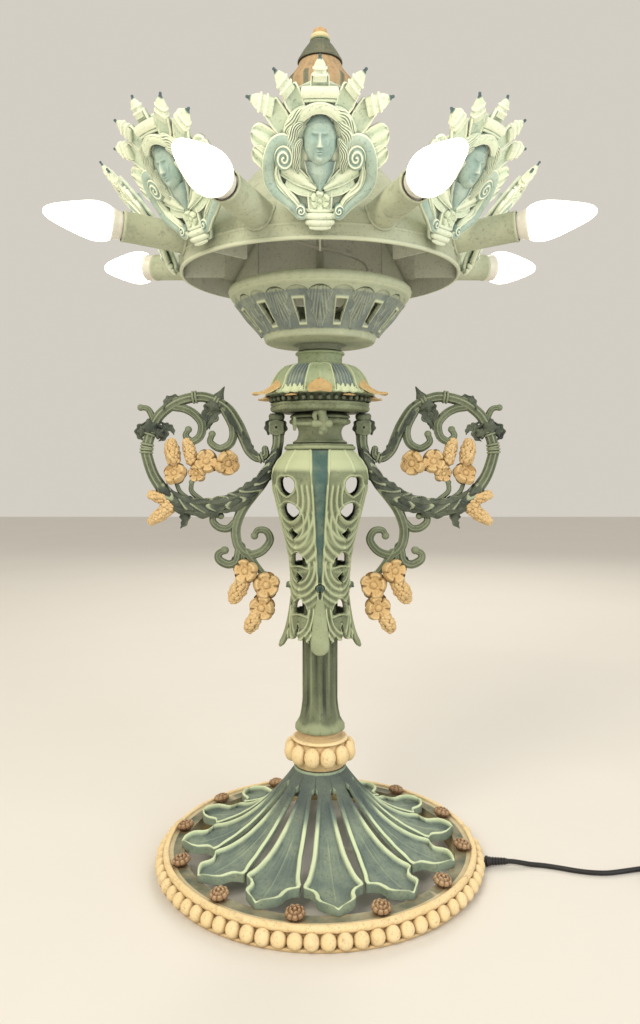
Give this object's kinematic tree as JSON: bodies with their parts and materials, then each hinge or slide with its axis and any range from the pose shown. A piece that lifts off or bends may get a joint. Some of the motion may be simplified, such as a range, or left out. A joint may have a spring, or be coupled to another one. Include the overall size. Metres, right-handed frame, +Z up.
{
  "type": "candelabra lamp",
  "caption": "Ornate painted cast-iron candelabra lamp: petal base in a bead ring, openwork urn stem, scrolled side arms and a drum of masks with candle bulbs.",
  "frame": {"origin": "centre of the bead ring's underside, on the floor", "axes": "+Z up along the threaded tube, front faces -Y, side arms along -X and +X"},
  "size_m": [0.7046, 0.5246, 0.908],
  "materials": {
    "cream_paint": "aged cream paint on cast iron, brown in the hollows",
    "petal_green": "blue-grey green paint on cast iron with pale mint edges",
    "sage_green": "sage green paint on cast iron, pale on the high edges",
    "dark_green": "dark green paint on cast iron with lighter rubbed ridges",
    "drum_green": "matt sage green paint on sheet metal",
    "mint_green": "pale mint paint on cast metal with blue-green washes",
    "ochre_paint": "matt ochre paint on cast metal",
    "bronze": "dark bronze with bright edges",
    "steel": "zinc-plated steel",
    "grey_cable": "grey PVC sheath",
    "white_plastic": "white heat-resistant moulding",
    "bulb_diffuser": "opal diffuser, lit",
    "black_plastic": "black PVC sheath, semi-matt"
  },
  "bodies": {
    "post": {"beaded_rim": "cream_paint", "bead_collar": "cream_paint", "base_canopy": "petal_green", "gallery_bowl": "petal_green", "fluted_stem": "sage_green", "urn_shell": "sage_green", "urn_neck": "sage_green", "arm_plate": "sage_green", "clamp_lug": "sage_green", "dome_canopy": "sage_green", "finial_skirt": "sage_green", "arm_left": "dark_green", "arm_right": "dark_green", "lamp_drum": "drum_green", "threaded_tube": "steel", "base_nut": "bronze", "base_washer": "steel", "drum_nut": "bronze", "feed_cable": "grey_cable", "terminal_block": "white_plastic", "cord_gland": "black_plastic", "mains_cord": "black_plastic", "cord_coil": "black_plastic", "mains_plug": "black_plastic", "mask_1": "mint_green", "candle_sleeve_1": "drum_green", "lampholder_1": "white_plastic", "mask_2": "mint_green", "candle_sleeve_2": "drum_green", "lampholder_2": "white_plastic", "mask_3": "mint_green", "candle_sleeve_3": "drum_green", "lampholder_3": "white_plastic", "mask_4": "mint_green", "candle_sleeve_4": "drum_green", "lampholder_4": "white_plastic", "mask_5": "mint_green", "candle_sleeve_5": "drum_green", "lampholder_5": "white_plastic", "mask_6": "mint_green", "candle_sleeve_6": "drum_green", "lampholder_6": "white_plastic", "mask_7": "mint_green", "candle_sleeve_7": "drum_green", "lampholder_7": "white_plastic", "mask_8": "mint_green", "candle_sleeve_8": "drum_green", "lampholder_8": "white_plastic"},
    "finial": {"finial_knob": "ochre_paint"},
    "clamp_screw": {"thumb_screw": "sage_green"},
    "light_1": {"bulb_1": "bulb_diffuser"},
    "light_2": {"bulb_2": "bulb_diffuser"},
    "light_3": {"bulb_3": "bulb_diffuser"},
    "light_4": {"bulb_4": "bulb_diffuser"},
    "light_5": {"bulb_5": "bulb_diffuser"},
    "light_6": {"bulb_6": "bulb_diffuser"},
    "light_7": {"bulb_7": "bulb_diffuser"},
    "light_8": {"bulb_8": "bulb_diffuser"}
  },
  "joints": [
    {"name": "finial_unscrew", "type": "hinge", "parent": "post", "child": "finial", "pos_m": [0, 0, 0.9], "axis": [0, 0, 1], "range_deg": [0, 720]},
    {"name": "clamp_screw_turn", "type": "hinge", "parent": "post", "child": "clamp_screw", "pos_m": [0, -0.043, 0.486], "axis": [1, 0, 0], "range_deg": [0, 720]},
    {"name": "bulb_1_out", "type": "slide", "parent": "post", "child": "light_1", "axis": [0.3812, -0.9204, 0.0872], "range_m": [0, 0.035]},
    {"name": "bulb_2_out", "type": "slide", "parent": "post", "child": "light_2", "axis": [0.9204, -0.3812, 0.0872], "range_m": [0, 0.035]},
    {"name": "bulb_3_out", "type": "slide", "parent": "post", "child": "light_3", "axis": [0.9204, 0.3812, 0.0872], "range_m": [0, 0.035]},
    {"name": "bulb_4_out", "type": "slide", "parent": "post", "child": "light_4", "axis": [0.3812, 0.9204, 0.0872], "range_m": [0, 0.035]},
    {"name": "bulb_5_out", "type": "slide", "parent": "post", "child": "light_5", "axis": [-0.3812, 0.9204, 0.0872], "range_m": [0, 0.035]},
    {"name": "bulb_6_out", "type": "slide", "parent": "post", "child": "light_6", "axis": [-0.9204, 0.3812, 0.0872], "range_m": [0, 0.035]},
    {"name": "bulb_7_out", "type": "slide", "parent": "post", "child": "light_7", "axis": [-0.9204, -0.3812, 0.0872], "range_m": [0, 0.035]},
    {"name": "bulb_8_out", "type": "slide", "parent": "post", "child": "light_8", "axis": [-0.3812, -0.9204, 0.0872], "range_m": [0, 0.035]}
  ]
}
